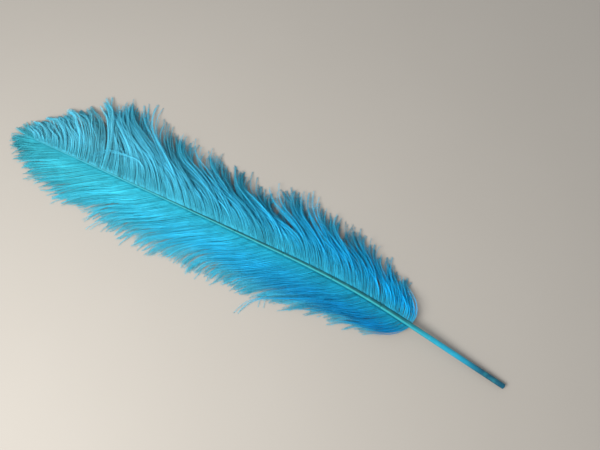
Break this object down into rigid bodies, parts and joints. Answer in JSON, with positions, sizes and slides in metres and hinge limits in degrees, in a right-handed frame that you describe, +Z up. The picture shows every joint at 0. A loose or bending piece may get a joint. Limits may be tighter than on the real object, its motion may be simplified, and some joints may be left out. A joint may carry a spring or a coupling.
{
  "type": "ostrich plume",
  "caption": "Single long dyed ostrich plume: bare round quill, tapering flexible shaft and two soft drooping vanes of curled barbs, for costume and hat trimming.",
  "frame": {"origin": "centre of the quill's cut end", "axes": "+X along the quill in plan towards the plume's tip, +Z up off the ground the vanes droop to, +Y towards the neater near vane"},
  "size_m": [0.6785, 0.1905, 0.0243],
  "materials": {
    "quill": "glossy dyed horn, darker towards the cut end",
    "pulp": "thin dry membrane",
    "rachis": "satin dyed horn",
    "pith": "light dry foam",
    "down": "soft dyed down",
    "near_barbs": "soft dyed barbs with fine barbules",
    "far_barbs": "soft dyed barbs with fine barbules",
    "tip_barbs": "soft dyed barbs with fine barbules"
  },
  "bodies": {
    "quill": {"calamus": "quill", "pulp_caps": "pulp", "near_base_down": "down", "far_base_down": "down"},
    "shaft_1": {"rachis_cortex_1": "rachis", "rachis_pith_1": "pith", "near_vane_1": "near_barbs", "far_vane_1": "far_barbs"},
    "shaft_2": {"rachis_cortex_2": "rachis", "rachis_pith_2": "pith", "near_vane_2": "near_barbs", "far_vane_2": "far_barbs"},
    "shaft_3": {"rachis_cortex_3": "rachis", "rachis_pith_3": "pith", "near_vane_3": "near_barbs", "far_vane_3": "far_barbs"},
    "shaft_4": {"rachis_cortex_4": "rachis", "rachis_pith_4": "pith", "near_vane_4": "near_barbs", "far_vane_4": "far_barbs"},
    "shaft_5": {"rachis_cortex_5": "rachis", "rachis_pith_5": "pith", "near_vane_5": "near_barbs", "far_vane_5": "far_barbs"},
    "shaft_6": {"rachis_cortex_6": "rachis", "rachis_pith_6": "pith", "near_vane_6": "near_barbs", "far_vane_6": "far_barbs"},
    "shaft_7": {"rachis_cortex_7": "rachis", "rachis_pith_7": "pith", "near_vane_7": "near_barbs", "far_vane_7": "far_barbs"},
    "shaft_8": {"rachis_cortex_8": "rachis", "near_vane_8": "near_barbs", "far_vane_8": "far_barbs", "tip_barbs": "tip_barbs"}
  },
  "joints": [
    {"name": "flex_1", "type": "hinge", "parent": "quill", "child": "shaft_1", "pos_m": [0.13168, 0.00001, 0.00921], "axis": [0.0019, -1, 0], "range_deg": [-3, 3], "stiffness_Nm_per_rad": 1.88},
    {"name": "flex_2", "type": "hinge", "parent": "shaft_1", "child": "shaft_2", "pos_m": [0.19601, 0.00163, 0.01348], "axis": [0.0579, -0.9983, 0], "range_deg": [-4, 4], "stiffness_Nm_per_rad": 1.04},
    {"name": "flex_3", "type": "hinge", "parent": "shaft_2", "child": "shaft_3", "pos_m": [0.26012, 0.00771, 0.01689], "axis": [0.1253, -0.9921, 0], "range_deg": [-6, 6], "stiffness_Nm_per_rad": 0.542},
    {"name": "flex_4", "type": "hinge", "parent": "shaft_3", "child": "shaft_4", "pos_m": [0.324, 0.01635, 0.01899], "axis": [0.1357, -0.9907, 0], "range_deg": [-8, 8], "stiffness_Nm_per_rad": 0.264},
    {"name": "flex_5", "type": "hinge", "parent": "shaft_4", "child": "shaft_5", "pos_m": [0.3879, 0.0251, 0.01959], "axis": [0.1357, -0.9907, 0], "range_deg": [-10, 10], "stiffness_Nm_per_rad": 0.118},
    {"name": "flex_6", "type": "hinge", "parent": "shaft_5", "child": "shaft_6", "pos_m": [0.45179, 0.03386, 0.01875], "axis": [0.1357, -0.9907, 0], "range_deg": [-12, 12], "stiffness_Nm_per_rad": 0.0485},
    {"name": "flex_7", "type": "hinge", "parent": "shaft_6", "child": "shaft_7", "pos_m": [0.51567, 0.04261, 0.01681], "axis": [0.1357, -0.9907, 0], "range_deg": [-15, 15], "stiffness_Nm_per_rad": 0.0184},
    {"name": "flex_8", "type": "hinge", "parent": "shaft_7", "child": "shaft_8", "pos_m": [0.57952, 0.05135, 0.01438], "axis": [0.1357, -0.9907, 0], "range_deg": [-20, 20], "stiffness_Nm_per_rad": 0.0132}
  ]
}
